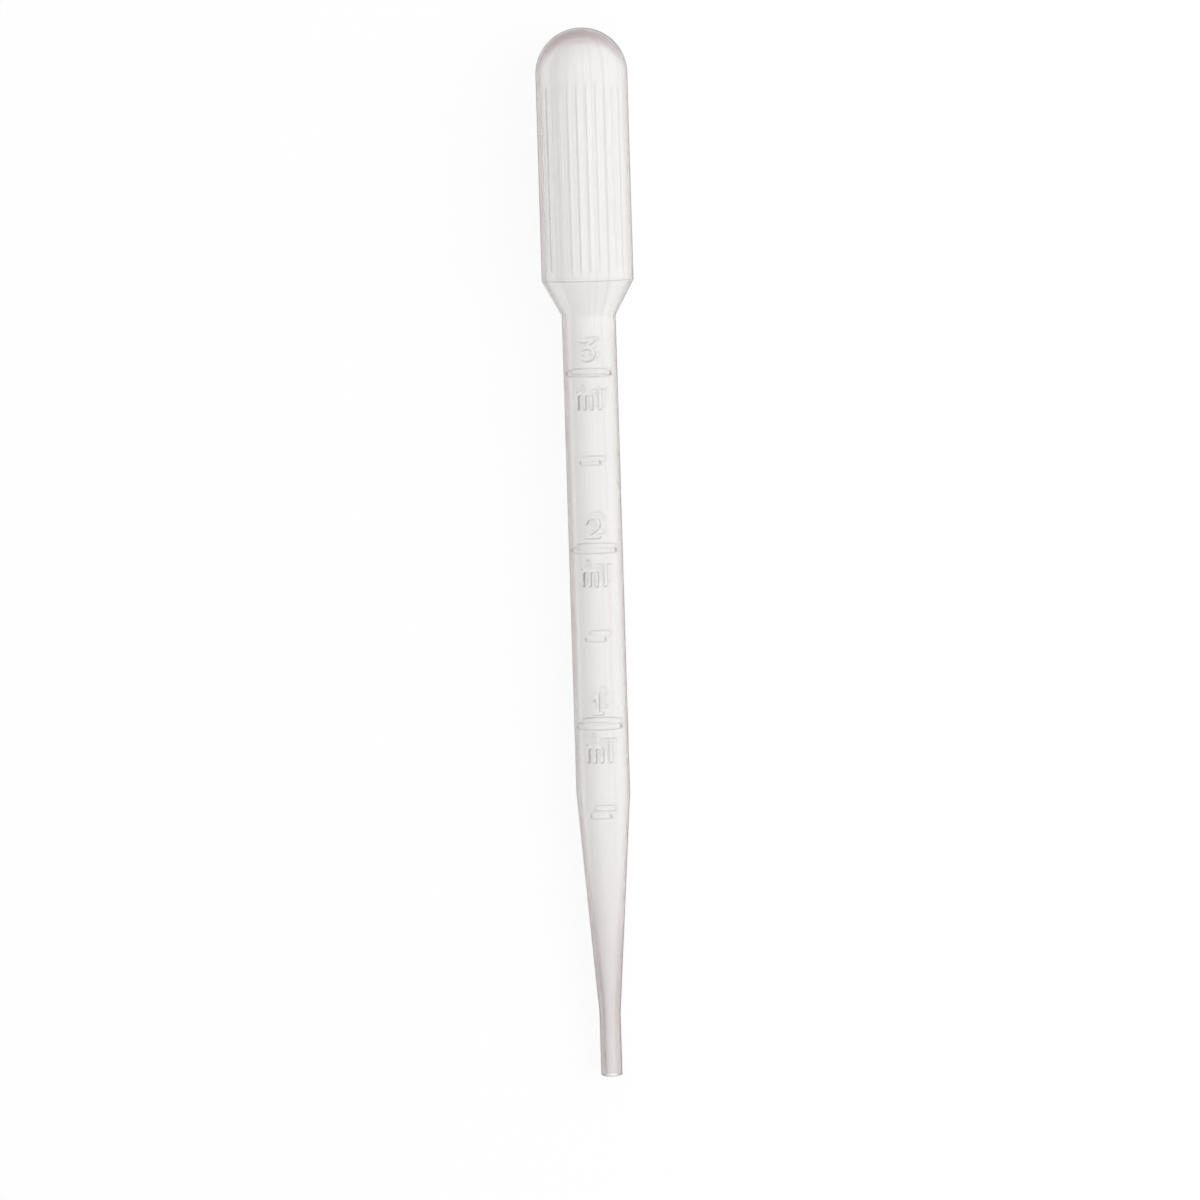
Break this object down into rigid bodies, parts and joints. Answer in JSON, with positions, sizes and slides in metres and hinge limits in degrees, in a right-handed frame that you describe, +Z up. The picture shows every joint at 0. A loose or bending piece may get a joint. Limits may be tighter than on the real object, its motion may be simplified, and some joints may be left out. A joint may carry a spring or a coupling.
{
  "type": "graduated transfer pipette",
  "caption": "One-piece soft plastic dropper with a ribbed squeeze bulb, a graduated stem with raised numbers and a long tapered tip, lying on its back.",
  "frame": {"origin": "centre of the bounding box in X and Y, at the lowest point in Z, which is the floor that the pipette lies on", "axes": "+Y runs along the pipette from the open tip towards the dome of the bulb, and +Z is up with one face of the graduations on top. As the pipette lies, its long axis leans 1.95 degrees from level, the tip end lower, and it is rolled 5.85 degrees about that axis, so that two grip ribs of the bulb stand on the floor; the parting line is that much above level on +X and below it on -X"},
  "size_m": [0.0136, 0.155, 0.0145],
  "materials": {
    "clear_plastic": "milky, see-through low-density polyethylene with a soft satin sheen, straight from the mould"
  },
  "bodies": {
    "root": {"pipette": "clear_plastic"}
  },
  "joints": []
}
